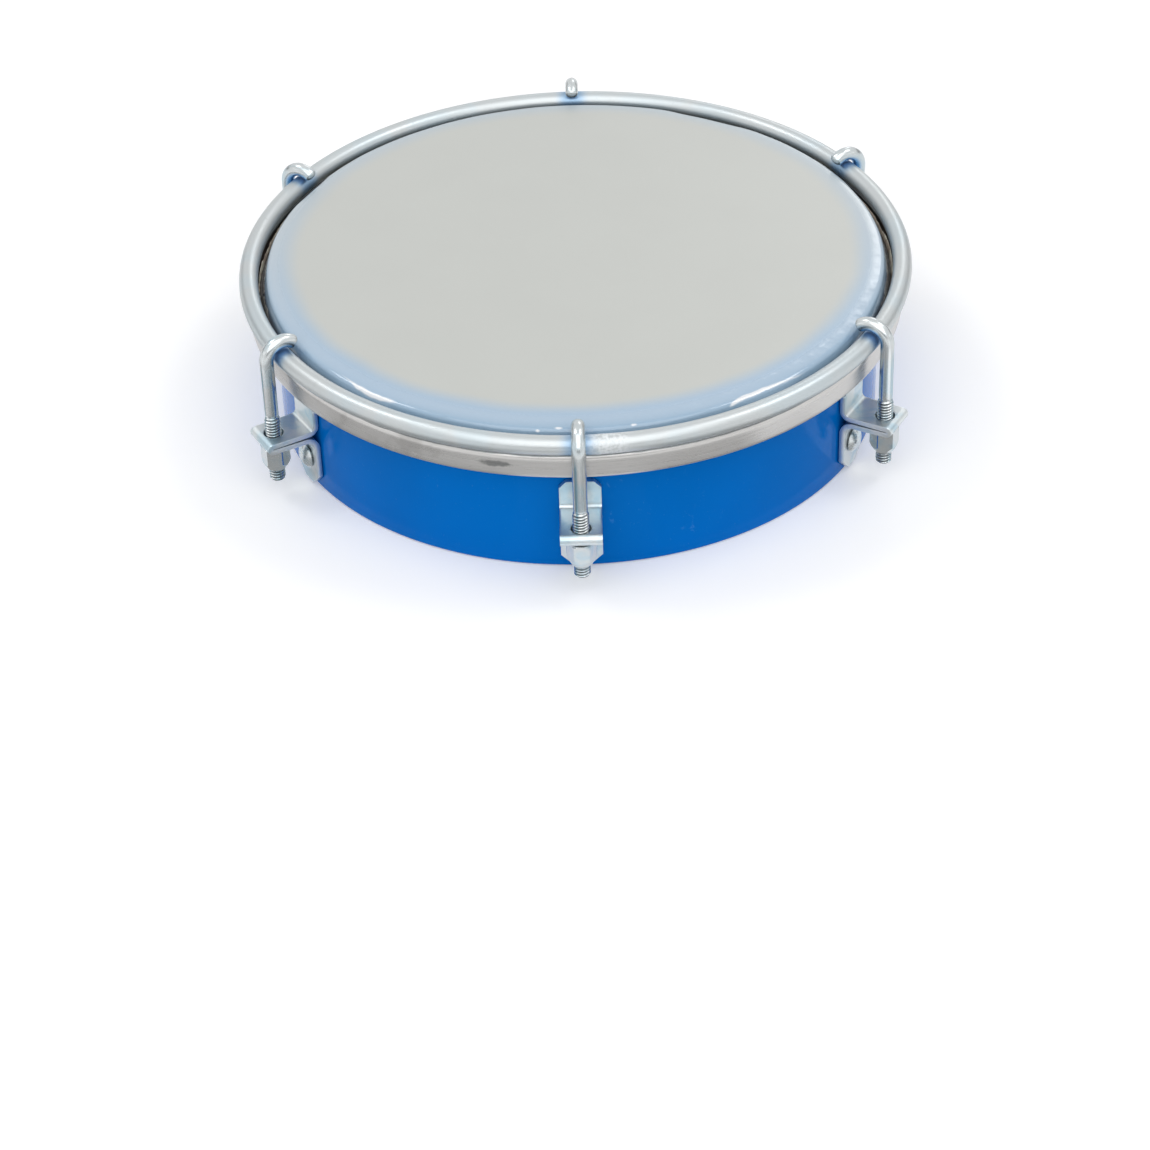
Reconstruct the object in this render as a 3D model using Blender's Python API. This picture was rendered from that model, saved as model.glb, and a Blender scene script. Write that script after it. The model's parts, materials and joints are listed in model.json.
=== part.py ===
"""Tamborim: a small one-headed frame drum, tuned by a rod ring and hook bolts.

Metres, +Z up. The origin is the centre of the circle on which the shell's bottom
rim rests. Lug 1 points to -Y and the lugs are counted anticlockwise from above.
Profiles are written as (out, up): out is the distance from the drum's axis.
"""

import math

import bmesh
import bpy
from mathutils import Matrix, Vector

# Clearances
TOUCH_GAP = 0.0003          # between pieces that touch on the real drum
BOLT_HOLE_PLAY = 0.0010     # on the diameter, bolt thread in the bracket's hole
RIVET_HOLE_PLAY = 0.0006    # on the diameter, rivet shank in its holes

# Shell
SHELL_DIAMETER = 0.1524
SHELL_HEIGHT = 0.0398
SHELL_WALL = 0.0040
BEARING_EDGE_RADIUS = 0.0010
RIM_CHAMFER = 0.0005

# Drumhead: a film with a formed collar, set in a resin-filled channel hoop
FILM_THICKNESS = 0.0003
CROWN_OVERHANG = 0.0014     # collar's outer face beyond the shell's outer face
COLLAR_BEND = 0.0010        # at the film's middle
HOOP_BELOW_CROWN = 0.0106   # hoop's lower edge below the playing face
HOOP_HEIGHT = 0.0065
HOOP_WIDTH = 0.0054
HOOP_WALL = 0.0008
HOOP_EDGE_CHAMFER = 0.0005
HOOP_SHELL_PLAY = 0.0007
SKIRT_FROM_WALL = 0.00065   # film's inner face outside the channel's inner wall
RESIN_BELOW_HOOP_TOP = 0.0004

# Tension ring
RING_ROD_DIAMETER = 0.00476

# Hook bolts
LUG_COUNT = 6
HOOK_ROD_DIAMETER = 0.00345
THREAD_DIAMETER = 0.00397
THREAD_LENGTH = 0.0188
HOOK_WRAP_ANGLE = 128.0     # degrees round the ring, from the outside over the top
BOLT_BELOW_NUT = 0.0038
BOLT_END_CHAMFER = 0.0005
HOOK_TIP_DOME = 0.0010

# Tuning nuts
NUT_ACROSS_FLATS = 0.00635
NUT_HEIGHT = 0.0064
NUT_END_DIAMETER = 0.0052   # flat at the small end of the nut's cone
NUT_CONE_HEIGHT = 0.0020    # at the corners

# Lug brackets: one folded strip each
STRIP_WIDTH = 0.0100
STRIP_THICKNESS = 0.0013
PLATFORM_HEIGHT = 0.0184    # platform's top above the rim
PLATFORM_REACH = 0.0040     # fold's outer face beyond the bolt's axis
FOLD_GAP = 0.0002           # between the platform's two layers at the fold
LOWER_LAYER_DROP = 0.0003   # the lower layer's slope towards the shell
UPPER_TAB_RISE = 0.0072     # tab's end above the platform's top
UPPER_BEND_RADIUS = 0.0012  # inside the bend
UPPER_CORNER = 0.0017
LOWER_BEND_RADIUS = 0.00235
LOWER_TAB_END = 0.0014      # above the rim
LOWER_CORNER = 0.0030

# Rivets
RIVET_DIAMETER = 0.0032
RIVET_HEAD_DIAMETER = 0.0064
RIVET_HEAD_EDGE = 0.0003
RIVET_HEAD_HEIGHT = 0.0017
RIVET_TAIL_DIAMETER = 0.0048
RIVET_TAIL_LENGTH = 0.0024
RIVET_TAIL_CHAMFER = 0.0007

# Facets
ROUND_STEPS = 72            # round the drum
ROD_STEPS = 12              # round a rod
BEND_STEPS = 5              # in a right-angle bend
HOOK_STEPS = 9              # along the hook's bend
TIP_ANGLES = (30, 60, 80)   # degrees round the dome at the hook's tip
DOME_STEPS = 4              # over a rivet's head
HOLE_STEPS = 16
SHARP_ANGLE = 35.0          # degrees, above which an edge stays sharp
WELD = 0.000001

# Worked-out places
shell_radius = SHELL_DIAMETER / 2
shell_bore = shell_radius - SHELL_WALL
crown_height = SHELL_HEIGHT + TOUCH_GAP + FILM_THICKNESS
hoop_bottom = crown_height - HOOP_BELOW_CROWN
hoop_top = hoop_bottom + HOOP_HEIGHT
hoop_inner = shell_radius + HOOP_SHELL_PLAY
hoop_outer = hoop_inner + HOOP_WIDTH
skirt_radius = hoop_inner + HOOP_WALL + SKIRT_FROM_WALL + FILM_THICKNESS / 2
skirt_end = hoop_bottom + HOOP_WALL + TOUCH_GAP
resin_top = hoop_top - RESIN_BELOW_HOOP_TOP

ring_rod_radius = RING_ROD_DIAMETER / 2
ring_radius = hoop_outer - HOOP_WALL / 2
ring_height = hoop_top + TOUCH_GAP + ring_rod_radius

hook_rod_radius = HOOK_ROD_DIAMETER / 2
hook_bend_radius = ring_rod_radius + TOUCH_GAP + hook_rod_radius
bolt_radius = ring_radius + hook_bend_radius

tab_middle = shell_radius + TOUCH_GAP + STRIP_THICKNESS / 2
platform_middle = PLATFORM_HEIGHT - STRIP_THICKNESS / 2
fold_radius = (STRIP_THICKNESS + FOLD_GAP) / 2
fold_centre = bolt_radius + PLATFORM_REACH - STRIP_THICKNESS / 2 - fold_radius
lower_layer = platform_middle - 2 * fold_radius
upper_bend = UPPER_BEND_RADIUS + STRIP_THICKNESS / 2
lower_bend = LOWER_BEND_RADIUS + STRIP_THICKNESS / 2
lower_bend_top = lower_layer - LOWER_LAYER_DROP
lower_tab_top = lower_bend_top - lower_bend
rivet_height = (lower_tab_top + LOWER_TAB_END + LOWER_CORNER) / 2

# The lower layer slopes, so its height under the bolt's axis lies between its ends
lower_layer_run = fold_centre - tab_middle - lower_bend
bolt_share = (fold_centre - bolt_radius) / lower_layer_run
lower_face = lower_layer - LOWER_LAYER_DROP * bolt_share - STRIP_THICKNESS / 2
nut_tilt_room = LOWER_LAYER_DROP / lower_layer_run * NUT_ACROSS_FLATS / math.sqrt(3)
nut_top = lower_face - nut_tilt_room - TOUCH_GAP
nut_bottom = nut_top - NUT_HEIGHT
bolt_end = nut_bottom - BOLT_BELOW_NUT


def clear_scene():
    for item in list(bpy.data.objects):
        bpy.data.objects.remove(item, do_unlink=True)


def material(name, colour, roughness, metallic):
    made = bpy.data.materials.new(name)
    made.use_nodes = True
    made.diffuse_color = (*colour, 1.0)
    shader = made.node_tree.nodes["Principled BSDF"]
    shader.inputs["Base Color"].default_value = (*colour, 1.0)
    shader.inputs["Roughness"].default_value = roughness
    shader.inputs["Metallic"].default_value = metallic
    return made


def arc(centre, radius, start, end, steps):
    """Points (out, up) on a circle from one angle to the other, in degrees."""
    points = []
    for step in range(steps + 1):
        angle = math.radians(start + (end - start) * step / steps)
        points.append((centre[0] + radius * math.cos(angle),
                       centre[1] + radius * math.sin(angle)))
    return points


def new_object(name, data, look=None, parent=None):
    made = bpy.data.objects.new(name, data)
    bpy.context.scene.collection.objects.link(made)
    made.parent = parent
    if look is not None and not data.materials:
        data.materials.append(look)
    return made


def shade(mesh):
    mesh.shade_smooth()
    mesh.set_sharp_from_angle(angle=math.radians(SHARP_ANGLE))


def mesh_from(name, shape):
    mesh = bpy.data.meshes.new(name)
    shape.to_mesh(mesh)
    shape.free()
    shade(mesh)
    return mesh


def turned(name, profile, steps=ROUND_STEPS, closed=True):
    """A profile of (out, up) points turned round the Z axis."""
    shape = bmesh.new()
    points = [shape.verts.new((0.0, -out, up)) for out, up in profile]
    edges = [shape.edges.new(pair) for pair in zip(points, points[1:])]
    if closed:
        edges.append(shape.edges.new((points[-1], points[0])))
    bmesh.ops.spin(shape, geom=points + edges, cent=(0, 0, 0), axis=(0, 0, 1),
                   dvec=(0, 0, 0), angle=2 * math.pi, steps=steps, use_merge=True)
    bmesh.ops.remove_doubles(shape, verts=shape.verts, dist=WELD)
    bmesh.ops.dissolve_degenerate(shape, dist=WELD, edges=shape.edges)
    bmesh.ops.recalc_face_normals(shape, faces=shape.faces)
    return mesh_from(name, shape)


def cylinder(name, radius, length, centre, axis, steps=HOLE_STEPS):
    """A closed cylinder along the given axis."""
    shape = bmesh.new()
    turn = Vector((0, 0, 1)).rotation_difference(Vector(axis)).to_matrix().to_4x4()
    bmesh.ops.create_cone(shape, cap_ends=True, segments=steps, radius1=radius,
                          radius2=radius, depth=length,
                          matrix=Matrix.Translation(centre) @ turn)
    return new_object(name, mesh_from(name, shape))


def add_boolean(target, cutter, operation="DIFFERENCE"):
    change = target.modifiers.new(cutter.name, "BOOLEAN")
    change.operation = operation
    change.solver = "EXACT"
    change.object = cutter
    cutter.hide_render = True
    cutter.display_type = "WIRE"


def finished_mesh(name, source, cutters):
    """The mesh of an object with its modifiers applied; the object is taken away."""
    bpy.context.view_layer.update()
    graph = bpy.context.evaluated_depsgraph_get()
    mesh = bpy.data.meshes.new_from_object(source.evaluated_get(graph))
    mesh.name = name
    mesh.materials.clear()
    for item in [source] + cutters:
        bpy.data.objects.remove(item, do_unlink=True)
    shade(mesh)
    return mesh


def make_shell(look):
    profile = [(shell_bore + RIM_CHAMFER, 0.0),
               (shell_radius - RIM_CHAMFER, 0.0),
               (shell_radius, RIM_CHAMFER)]
    profile += arc((shell_radius - BEARING_EDGE_RADIUS, SHELL_HEIGHT - BEARING_EDGE_RADIUS),
                   BEARING_EDGE_RADIUS, 0, 90, 3)
    profile += [(shell_radius - 2 * BEARING_EDGE_RADIUS, SHELL_HEIGHT),
                (shell_bore, SHELL_HEIGHT - BEARING_EDGE_RADIUS),
                (shell_bore, RIM_CHAMFER)]
    shell = new_object("shell", turned("shell", profile), look)
    for number, angle in lug_angles():
        turn = Matrix.Rotation(angle, 4, "Z")
        axis = turn @ Vector((0, -1, 0))
        centre = axis * (shell_radius - SHELL_WALL / 2) + Vector((0, 0, rivet_height))
        cutter = cylinder("rivet_hole_%d" % number, (RIVET_DIAMETER + RIVET_HOLE_PLAY) / 2,
                          2 * SHELL_WALL, centre, axis, ROD_STEPS)
        add_boolean(shell, cutter)
    return shell


def film_path():
    """The middle line of the film: crown, collar bend, sloping collar and skirt."""
    crown_middle = crown_height - FILM_THICKNESS / 2
    collar_radius = shell_radius + CROWN_OVERHANG - FILM_THICKNESS / 2
    centre = (collar_radius - COLLAR_BEND, crown_middle - COLLAR_BEND)
    foot = (skirt_radius, resin_top)
    run = foot[0] - centre[0]
    fall = centre[1] - foot[1]
    reach = math.hypot(run, fall)
    leave = math.degrees(math.acos(COLLAR_BEND / reach) - math.atan2(fall, run))
    path = [(0.0, crown_middle), (collar_radius / 2, crown_middle)]
    path += arc(centre, COLLAR_BEND, 90, leave, 4)
    path += [foot, (skirt_radius, skirt_end)]
    return path


def make_drumhead(look):
    film = new_object("drumhead", turned("drumhead", film_path(), closed=False), look)
    wall = film.modifiers.new("film", "SOLIDIFY")
    wall.thickness = FILM_THICKNESS
    wall.offset = 0.0
    wall.use_even_offset = True
    return film


def make_flesh_hoop(look):
    floor_top = hoop_bottom + HOOP_WALL
    profile = [(hoop_inner, hoop_bottom),
               (hoop_outer, hoop_bottom),
               (hoop_outer, hoop_top - HOOP_EDGE_CHAMFER),
               (hoop_outer - HOOP_EDGE_CHAMFER, hoop_top),
               (hoop_outer - HOOP_WALL, hoop_top),
               (hoop_outer - HOOP_WALL, floor_top),
               (hoop_inner + HOOP_WALL, floor_top),
               (hoop_inner + HOOP_WALL, hoop_top),
               (hoop_inner, hoop_top)]
    return new_object("flesh_hoop", turned("flesh_hoop", profile), look)


def make_resin(look):
    inner = skirt_radius + FILM_THICKNESS / 2 + TOUCH_GAP
    outer = hoop_outer - HOOP_WALL - TOUCH_GAP
    bottom = hoop_bottom + HOOP_WALL + TOUCH_GAP
    profile = [(inner, bottom), (outer, bottom), (outer, resin_top), (inner, resin_top)]
    return new_object("head_resin", turned("head_resin", profile), look)


def make_tension_ring(look):
    profile = arc((ring_radius, ring_height), ring_rod_radius, 0, 360, ROD_STEPS)[:-1]
    return new_object("tension_ring", turned("tension_ring", profile), look)


def hook_curve():
    """The bolt's middle line with its radius at each point, from the bolt's axis."""
    thread_radius = THREAD_DIAMETER / 2
    thread_top = bolt_end + THREAD_LENGTH
    step = thread_radius - hook_rod_radius
    line = [((0.0, bolt_end), thread_radius - BOLT_END_CHAMFER),
            ((0.0, bolt_end + BOLT_END_CHAMFER), thread_radius),
            ((0.0, thread_top - step), thread_radius),
            ((0.0, thread_top), hook_rod_radius)]
    bend = arc((-hook_bend_radius, ring_height), hook_bend_radius, 0, HOOK_WRAP_ANGLE,
               HOOK_STEPS)
    line += [(point, hook_rod_radius) for point in bend]
    heading = math.radians(HOOK_WRAP_ANGLE + 90)
    for angle in TIP_ANGLES:
        ahead = HOOK_TIP_DOME * math.sin(math.radians(angle))
        tip = (bend[-1][0] + ahead * math.cos(heading), bend[-1][1] + ahead * math.sin(heading))
        line.append((tip, hook_rod_radius * math.cos(math.radians(angle))))
    curve = bpy.data.curves.new("hook_bolt", "CURVE")
    curve.dimensions = "3D"
    curve.bevel_depth = 1.0
    curve.bevel_resolution = 2
    curve.use_fill_caps = True
    spline = curve.splines.new("POLY")
    spline.points.add(len(line) - 1)
    for point, ((out, up), radius) in zip(spline.points, line):
        point.co = (0.0, -out, up, 1.0)
        point.radius = radius
    return curve


def nut_mesh():
    """A hexagon with a coned lower end and a plain bore, standing on the origin."""
    corner_radius = NUT_ACROSS_FLATS / math.sqrt(3)
    shape = bmesh.new()
    bmesh.ops.create_cone(shape, cap_ends=True, segments=6, radius1=corner_radius,
                          radius2=corner_radius, depth=NUT_HEIGHT,
                          matrix=Matrix.Translation((0, 0, NUT_HEIGHT / 2)))
    nut = new_object("nut", mesh_from("nut", shape))
    end_radius = NUT_END_DIAMETER / 2
    spread = (corner_radius - end_radius) / NUT_CONE_HEIGHT
    rise = 2 * NUT_HEIGHT
    cone = turned("nut_cone", [(0.0, 0.0), (end_radius, 0.0), (end_radius + spread * rise, rise),
                               (0.0, rise)], 2 * HOLE_STEPS, closed=False)
    envelope = new_object("nut_cone", cone)
    add_boolean(nut, envelope, "INTERSECT")
    bore = cylinder("nut_bore", THREAD_DIAMETER / 2 + TOUCH_GAP, 3 * NUT_HEIGHT,
                    (0, 0, NUT_HEIGHT / 2), (0, 0, 1))
    add_boolean(nut, bore)
    return finished_mesh("tuning_nut", nut, [envelope, bore])


def strip_path():
    """The strip's middle line (out, up) with its width, from upper tab to lower tab."""
    tip = PLATFORM_HEIGHT + UPPER_TAB_RISE
    narrow_top = STRIP_WIDTH - 2 * UPPER_CORNER
    narrow_bottom = STRIP_WIDTH - 2 * LOWER_CORNER
    path = [((tab_middle, tip), narrow_top), ((tab_middle, tip - UPPER_CORNER), STRIP_WIDTH)]
    bends = arc((tab_middle + upper_bend, platform_middle + upper_bend), upper_bend, 180, 270,
                BEND_STEPS)
    bends += arc((fold_centre, platform_middle - fold_radius), fold_radius, 90, -90,
                 2 * BEND_STEPS)
    bends += arc((tab_middle + lower_bend, lower_tab_top), lower_bend, 90, 180, BEND_STEPS)
    path += [(point, STRIP_WIDTH) for point in bends]
    path += [((tab_middle, LOWER_TAB_END + LOWER_CORNER), STRIP_WIDTH),
             ((tab_middle, LOWER_TAB_END), narrow_bottom)]
    return path


def bracket_mesh():
    """One strip, bent and folded, with the bolt's hole through both layers."""
    shape = bmesh.new()
    rows = []
    for (out, up), width in strip_path():
        rows.append([shape.verts.new((side * width / 2, -out, up)) for side in (-1, 1)])
    for upper, lower in zip(rows, rows[1:]):
        shape.faces.new((upper[0], lower[0], lower[1], upper[1]))
    strip = new_object("strip", mesh_from("strip", shape))
    wall = strip.modifiers.new("thickness", "SOLIDIFY")
    wall.thickness = STRIP_THICKNESS
    wall.offset = 0.0
    wall.use_even_offset = True
    bolt_hole = cylinder("bolt_hole", (THREAD_DIAMETER + BOLT_HOLE_PLAY) / 2,
                         2 * PLATFORM_HEIGHT, (0, -bolt_radius, PLATFORM_HEIGHT), (0, 0, 1))
    rivet_hole = cylinder("rivet_hole", (RIVET_DIAMETER + RIVET_HOLE_PLAY) / 2,
                          4 * STRIP_THICKNESS, (0, -tab_middle, rivet_height), (0, -1, 0),
                          ROD_STEPS)
    for cutter in (bolt_hole, rivet_hole):
        add_boolean(strip, cutter)
    return finished_mesh("lug_bracket", strip, [bolt_hole, rivet_hole])


def rivet_mesh():
    """A domed rivet along -Y: tail inside the shell, shank, and head on the bracket."""
    tail_face = shell_bore - TOUCH_GAP
    head_face = tab_middle + STRIP_THICKNESS / 2 + TOUCH_GAP
    head_radius = RIVET_HEAD_DIAMETER / 2
    tail_radius = RIVET_TAIL_DIAMETER / 2
    shank = RIVET_DIAMETER / 2
    dome = RIVET_HEAD_HEIGHT - RIVET_HEAD_EDGE
    tail_end = tail_face - RIVET_TAIL_LENGTH
    profile = [(0.0, tail_end), (tail_radius - RIVET_TAIL_CHAMFER, tail_end),
               (tail_radius, tail_end + RIVET_TAIL_CHAMFER), (tail_radius, tail_face),
               (shank, tail_face), (shank, head_face), (head_radius, head_face)]
    for step in range(DOME_STEPS + 1):
        angle = math.radians(90 * step / DOME_STEPS)
        profile.append((head_radius * math.cos(angle),
                        head_face + RIVET_HEAD_EDGE + dome * math.sin(angle)))
    mesh = turned("bracket_rivet", profile, ROD_STEPS, closed=False)
    mesh.transform(Matrix.Translation((0, 0, rivet_height)) @ Matrix.Rotation(math.pi / 2, 4, "X"))
    return mesh


def lug_angles():
    """Each lug's number and its turn about the drum's axis."""
    return [(index + 1, 2 * math.pi * index / LUG_COUNT) for index in range(LUG_COUNT)]


def make_lugs(steel, bright_steel):
    bracket = bracket_mesh()
    rivet = rivet_mesh()
    nut = nut_mesh()
    hook = hook_curve()
    for number, angle in lug_angles():
        lug = new_object("lug_%d" % number, None)
        lug.rotation_euler.z = angle
        new_object("lug_bracket_%d" % number, bracket, steel, lug)
        new_object("bracket_rivet_%d" % number, rivet, bright_steel, lug)
        bolt = new_object("hook_bolt_%d" % number, hook, steel, lug)
        bolt.location = (0, -bolt_radius, 0)
        spinner = new_object("tuning_nut_%d" % number, nut, bright_steel, lug)
        spinner.location = (0, -bolt_radius, nut_bottom)
        spinner.rotation_euler.z = math.radians(30)


def main():
    clear_scene()
    blue = material("blue_gloss", (0.0, 0.13, 0.52), 0.25, 0.0)
    film = material("milky_film", (0.62, 0.63, 0.65), 0.35, 0.0)
    resin = material("amber_resin", (0.50, 0.36, 0.20), 0.40, 0.0)
    aluminium = material("soft_aluminium", (0.66, 0.64, 0.62), 0.35, 1.0)
    zinc = material("zinc_plate", (0.62, 0.66, 0.68), 0.30, 1.0)
    bright_zinc = material("bright_zinc_plate", (0.70, 0.75, 0.78), 0.20, 1.0)
    make_shell(blue)
    make_drumhead(film)
    make_flesh_hoop(aluminium)
    make_resin(resin)
    make_tension_ring(zinc)
    make_lugs(zinc, bright_zinc)


main()
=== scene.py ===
"""Tamborim: the finished surfaces and materials of a small one-headed frame drum.

Laid out as an add-on and run as a script. Lengths are in metres, +Z up, in the frame
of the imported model. A lug's own axes are side (anticlockwise), out (away from the
drum's axis) and up; lug 1 points to -Y.
"""

import json
import math

import bmesh
import bpy
import numpy as np
from bpy.props import FloatProperty, FloatVectorProperty, PointerProperty
from bpy.types import NodeSocket, Operator, Panel, PropertyGroup
from mathutils import Matrix, Vector


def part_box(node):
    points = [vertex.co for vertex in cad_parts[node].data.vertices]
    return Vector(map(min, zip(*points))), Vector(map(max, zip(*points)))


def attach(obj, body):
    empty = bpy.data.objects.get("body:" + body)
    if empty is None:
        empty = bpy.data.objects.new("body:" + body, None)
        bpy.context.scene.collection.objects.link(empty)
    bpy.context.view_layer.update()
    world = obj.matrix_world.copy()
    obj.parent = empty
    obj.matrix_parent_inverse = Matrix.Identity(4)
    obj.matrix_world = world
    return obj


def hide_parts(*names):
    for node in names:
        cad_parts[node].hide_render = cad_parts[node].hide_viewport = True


bl_info = {
    "name": "Tamborim",
    "version": (1, 0, 0),
    "blender": (4, 5, 0),
    "location": "3D View > Sidebar > Tamborim",
    "description": "Builds the finished surfaces of a tamborim round its packed frame",
    "category": "Add Mesh",
}

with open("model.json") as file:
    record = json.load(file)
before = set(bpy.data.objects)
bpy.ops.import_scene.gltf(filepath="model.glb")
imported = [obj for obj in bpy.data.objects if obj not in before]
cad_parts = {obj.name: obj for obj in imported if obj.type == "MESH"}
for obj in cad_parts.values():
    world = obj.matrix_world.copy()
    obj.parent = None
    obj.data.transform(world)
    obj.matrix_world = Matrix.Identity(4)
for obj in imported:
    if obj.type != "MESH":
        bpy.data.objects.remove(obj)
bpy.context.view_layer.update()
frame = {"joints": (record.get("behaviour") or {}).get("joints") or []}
LUGS = range(1, 7)
MM = 0.001

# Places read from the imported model
shell_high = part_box("shell")[1]
film_low, film_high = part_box("drumhead")
hoop_low, hoop_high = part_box("flesh_hoop")
resin_low, resin_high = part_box("head_resin")
ring_low, ring_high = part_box("tension_ring")
bolt_low, bolt_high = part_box("hook_bolt_1")
nut_low, nut_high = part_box("tuning_nut_1")
bracket_low, bracket_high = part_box("lug_bracket_1")
rivet_low, rivet_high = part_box("bracket_rivet_1")
JOINTS = {joint["name"]: joint for joint in frame["joints"]}

SHELL_RADIUS = shell_high.x
RING_ROD = (ring_high.z - ring_low.z) / 2
RING_RADIUS = ring_high.x - RING_ROD
RING_HEIGHT = (ring_high.z + ring_low.z) / 2
BOLT_RADIUS = -JOINTS["nut_1_turn"]["pos_m"][1]
HOOK_BEND = BOLT_RADIUS - RING_RADIUS
HOOK_ROD = bolt_high.z - RING_HEIGHT - HOOK_BEND
RIVET_HEIGHT = (rivet_low.z + rivet_high.z) / 2

# Places that no box gives
SHELF_TOP = 18.4 * MM
THREAD_LENGTH = 18.8 * MM
NUT_FLATS = 6.35 * MM
SHOULDER_RISE = 0.35 * MM
RESIN_RIDGE = 79.65 * MM


def size(label, description, default, least, **more):
    """A length that a user can change."""
    return FloatProperty(name=label, description=description, default=default, min=least,
                         unit="LENGTH", **more)


def tone(label, description, *default):
    """A colour that a user can change."""
    return FloatVectorProperty(name=label, description=description, default=default, size=3,
                               min=0, max=1, subtype="COLOR")


class TamborimSizes(PropertyGroup):
    """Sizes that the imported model's boxes don't give."""
    shell_wall: size("Shell wall", "Thickness of the shell", 0.0040, 0.001)
    bearing_edge: size("Bearing edge", "Radius of the shell's upper edge", 0.0010, 0.0001)
    film: size("Film", "Thickness of the drumhead's film", 0.00025, 0.0001)
    collar_bend: size(
        "Collar bend", "Radius of the film where it turns down over the edge", 0.0012, 0.0003)
    collar_overhang: size(
        "Collar overhang", "How far the film's bend stands outside the shell", 0.0014, 0.0)
    hoop_wall: size("Hoop wall", "Thickness of the flesh hoop's channel", 0.0008, 0.0003)
    hoop_shoulder: size(
        "Hoop shoulder", "Radius at which the flesh hoop's outer wall curves in",
        0.0020, 0.0012, max=0.0030)
    strip: size("Bracket strip", "Thickness of the lug brackets' sheet", 0.0013, 0.0005)
    thread_pitch: size(
        "Thread pitch", "Rise of the bolts' thread in one turn", 0.00079375, 0.0003, precision=6)
    thread_depth: size(
        "Thread depth", "Height of the thread's crest over its root", 0.00046, 0.0001)


class TamborimColours(PropertyGroup):
    """Base colours, each as the piece shows it in plain light."""
    shell: tone("Shell", "Glossy plastic of the shell", 0.0, 0.160, 0.590)
    film: tone("Film", "Milky film of the head", 0.575, 0.590, 0.562)
    # Painted shine-through: the blue of the shell seen through the film near its rim.
    film_rim: tone(
        "Film at the rim", "The film where the shell shines through it", 0.400, 0.535, 0.680)
    aluminium: tone("Hoop", "Rolled aluminium of the flesh hoop", 0.61, 0.602, 0.592)
    resin: tone("Resin", "Cast resin in the hoop's channel", 0.62, 0.50, 0.41)
    zinc: tone("Zinc", "Bright zinc plating of the ring and hardware", 0.590, 0.623, 0.632)
    zinc_tint: tone(
        "Zinc tint", "Blue cast that the plating has in patches", 0.38, 0.57, 0.68)


# Surfaces

def ring_of(count):
    """Angles that share out one full turn."""
    return np.arange(count) * (2 * math.pi / count)


def points_at(*axes):
    """An array of points from one array for each axis. A lone number, row or column is
    repeated to match the others."""
    return np.stack(np.broadcast_arrays(*axes), axis=-1)


def arc(centre, radius, start, end, steps):
    """Points of a circle's arc from one angle to the other, in degrees, both ends included."""
    angle = np.radians(np.linspace(start, end, steps + 1))
    return points_at(centre[0] + radius * np.cos(angle), centre[1] + radius * np.sin(angle))


def line(start, end, steps):
    """Evenly spaced points from start up to, but not including, end."""
    share = np.linspace(0, 1, steps, endpoint=False)[:, None]
    return np.asarray(start) * (1 - share) + np.asarray(end) * share


def swell(values, middle, width, power=2):
    """A smooth bump of height one: exp(-((value - middle) / width) ** power)."""
    return np.exp(-((values - middle) / width) ** power)


def away_from(heading, angle, turn=360):
    """Degrees from a heading to each angle, the short way round the turn."""
    return (np.degrees(angle) - heading + turn / 2) % turn - turn / 2


def grid_quads(rows, columns, wrap_rows, wrap_columns):
    """The quads between neighbouring points of a rows by columns grid."""
    row = np.arange(rows if wrap_rows else rows - 1)
    column = np.arange(columns if wrap_columns else columns - 1)
    row, column = np.meshgrid(row, column, indexing="ij")
    below = (row + 1) % rows
    beside = (column + 1) % columns
    corners = [row * columns + column, row * columns + beside,
               below * columns + beside, below * columns + column]
    return np.stack(corners, axis=-1).reshape(-1, 4)


def mesh_of(name, points, quads):
    """A mesh from an array of points and an array of quads, put in with foreach_set."""
    mesh = bpy.data.meshes.new(name)
    mesh.vertices.add(len(points))
    mesh.vertices.foreach_set("co", np.asarray(points, np.float32).ravel())
    mesh.loops.add(quads.size)
    mesh.loops.foreach_set("vertex_index", quads.astype(np.int32).ravel())
    mesh.polygons.add(len(quads))
    mesh.polygons.foreach_set("loop_start", np.arange(0, quads.size, 4, dtype=np.int32))
    mesh.update(calc_edges=True)
    mesh.validate()
    return mesh


def close_and_face_out(mesh, weld=1e-7):
    """Joins points that meet at seams and poles, and turns every face outwards."""
    shape = bmesh.new()
    shape.from_mesh(mesh)
    bmesh.ops.remove_doubles(shape, verts=shape.verts, dist=weld)
    bmesh.ops.dissolve_degenerate(shape, edges=shape.edges, dist=weld)
    bmesh.ops.recalc_face_normals(shape, faces=shape.faces)
    shape.to_mesh(mesh)
    shape.free()


def grid_mesh(name, points, wrap_rows=False, wrap_columns=True, **marks):
    """A mesh from a rows by columns by 3 array of points, closed where they meet. Each of
    marks, one value per point, is kept as the attribute of that name."""
    rows, columns = points.shape[:2]
    quads = grid_quads(rows, columns, wrap_rows, wrap_columns)
    mesh = mesh_of(name, points.reshape(-1, 3), quads)
    for mark, values in marks.items():
        layer = mesh.attributes.new(mark, "FLOAT", "POINT")
        layer.data.foreach_set("value", np.asarray(values, np.float32).ravel())
    close_and_face_out(mesh)
    return mesh


def add_to_scene(name, data):
    """An object for a mesh, a lamp or a camera, linked to the scene."""
    item = bpy.data.objects.new(name, data)
    bpy.context.scene.collection.objects.link(item)
    return item


def piece_of(name, mesh, material, body, nodes, sharp=40.0):
    """Links a finished mesh as a piece that stands for its CAD nodes."""
    mesh.shade_smooth()
    mesh.set_sharp_from_angle(angle=math.radians(sharp))
    mesh.materials.append(material)
    piece = add_to_scene(name, mesh)
    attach(piece, body)
    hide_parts(*nodes)
    return piece


def grid_piece(name, points, material, body, slot, nodes, sharp=40.0, **grid):
    """A piece from a grid of points, with what else grid_mesh needs."""
    piece_of(name, grid_mesh(name, points, **grid), material, body, nodes, sharp)


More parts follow.
